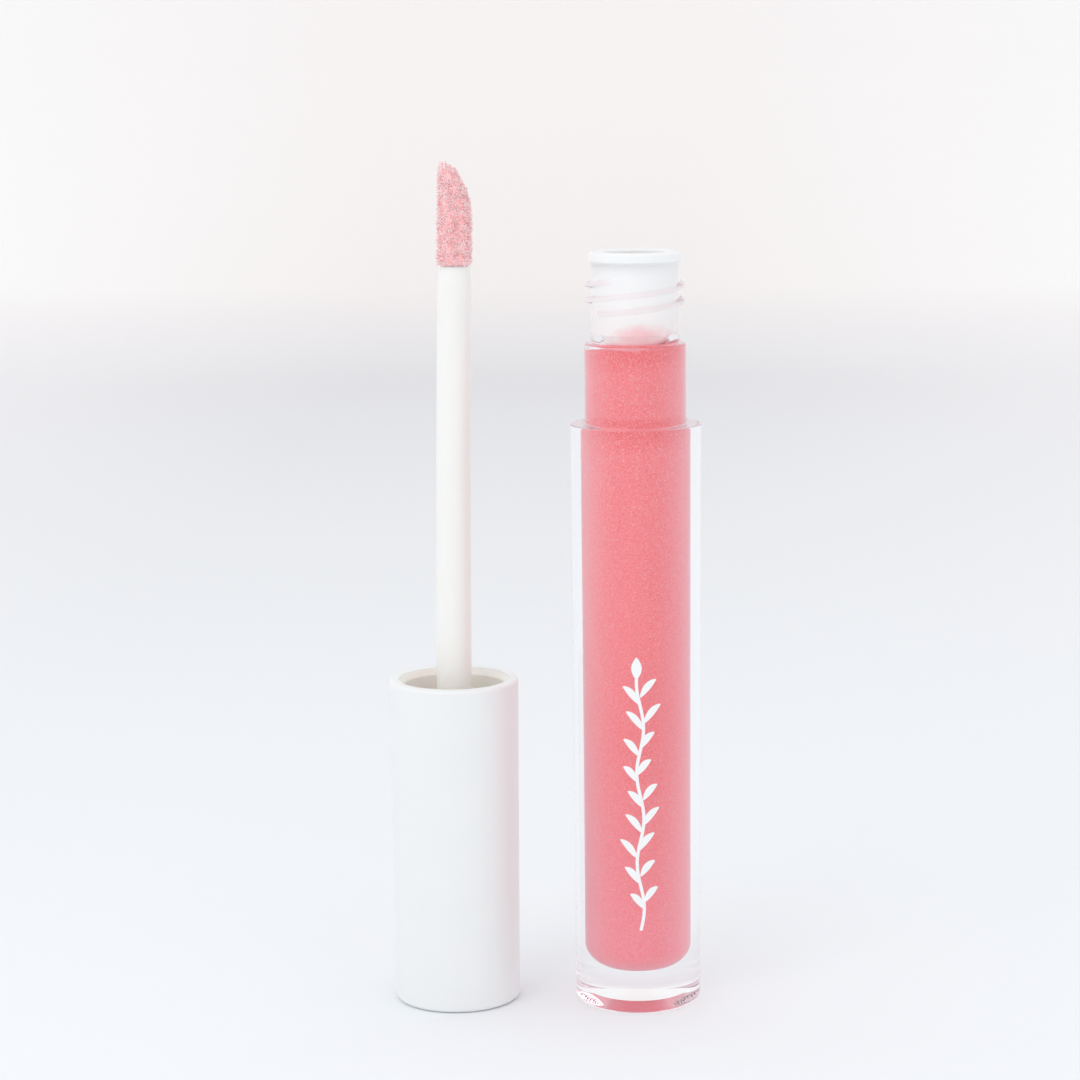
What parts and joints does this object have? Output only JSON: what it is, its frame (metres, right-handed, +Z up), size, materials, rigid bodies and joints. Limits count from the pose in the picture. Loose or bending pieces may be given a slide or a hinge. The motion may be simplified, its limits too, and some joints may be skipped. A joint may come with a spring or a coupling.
{
  "type": "lip gloss tube",
  "caption": "Open lip gloss tube: clear thick-walled bottle of gloss with wiper, beside its upturned screw cap with wand and flocked applicator.",
  "frame": {"origin": "on the table, midway between the bottle and the upturned cap", "axes": "+Z up along the bottle and the wand, +X from the cap to the bottle, +Y away from the viewer"},
  "size_m": [0.041, 0.017, 0.1107],
  "materials": {
    "clear_plastic": "clear polished",
    "milky_plastic": "translucent, softly polished",
    "lip_gloss": "wet, with fine shimmer",
    "foam": "matte foam",
    "white_plastic": "glossy",
    "cream_plastic": "satin",
    "soft_core": "matte",
    "flock": "short flocked fibres stained with gloss"
  },
  "bodies": {
    "bottle": {"bottle": "clear_plastic", "wiper": "milky_plastic", "gloss": "lip_gloss"},
    "seal": {"seal_washer": "foam"},
    "wand": {"cap_shell": "white_plastic", "cap_liner": "cream_plastic", "wand_stem": "cream_plastic", "applicator_core": "soft_core", "applicator_flock": "flock"}
  },
  "joints": [
    {"name": "wand_lift", "type": "slide", "parent": "bottle", "child": "seal", "axis": [0, 0, 1], "range_m": [0, 0.12]},
    {"name": "cap_twist", "type": "hinge", "parent": "seal", "child": "wand", "pos_m": [-0.01205, 0, 0.02], "axis": [0, 0, 1], "continuous": true}
  ]
}
